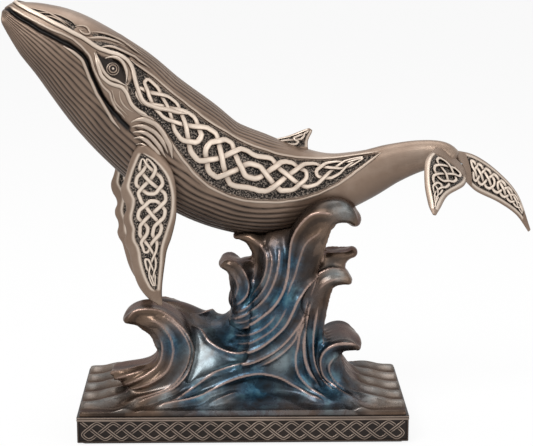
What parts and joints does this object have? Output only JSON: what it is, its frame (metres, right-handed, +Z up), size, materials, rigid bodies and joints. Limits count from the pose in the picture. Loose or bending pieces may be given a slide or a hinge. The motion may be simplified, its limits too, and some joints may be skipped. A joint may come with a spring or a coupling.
{
  "type": "whale figurine",
  "caption": "Humpback whale with interlace ornament leaping over curling waves on a rectangular plinth; a cast bronze-finish shelf ornament that stands on felt.",
  "frame": {"origin": "middle of the felt's underside, on the surface that the figurine stands on", "axes": "+Z up, +X along the plinth from the whale's head to its tail, +Y away from the viewer"},
  "size_m": [0.2681, 0.0917, 0.2173],
  "materials": {
    "whale_bronze": "cold-cast bronze resin, dark in the recesses and rubbed bright on the relief",
    "sea_patina": "cold-cast bronze resin washed blue-green, rubbed bright on the wave ridges",
    "plinth_bronze": "cold-cast bronze resin, dark brown, rubbed on the frieze",
    "felt": "black felt",
    "steel": "plain drawn rod"
  },
  "bodies": {
    "root": {"whale_body": "whale_bronze", "left_flipper": "whale_bronze", "right_flipper": "whale_bronze", "left_fluke": "whale_bronze", "right_fluke": "whale_bronze", "dorsal_fin": "whale_bronze", "sea_swell": "sea_patina", "wave_mound": "sea_patina", "left_breaker": "sea_patina", "mid_left_curl": "sea_patina", "upper_left_curl": "sea_patina", "upper_right_hook": "sea_patina", "mid_right_finger": "sea_patina", "mid_right_curl": "sea_patina", "lower_right_breaker": "sea_patina", "support_rods": "steel", "flipper_pins": "steel", "tail_pin": "steel", "plinth": "plinth_bronze", "felt_pad": "felt"}
  },
  "joints": []
}
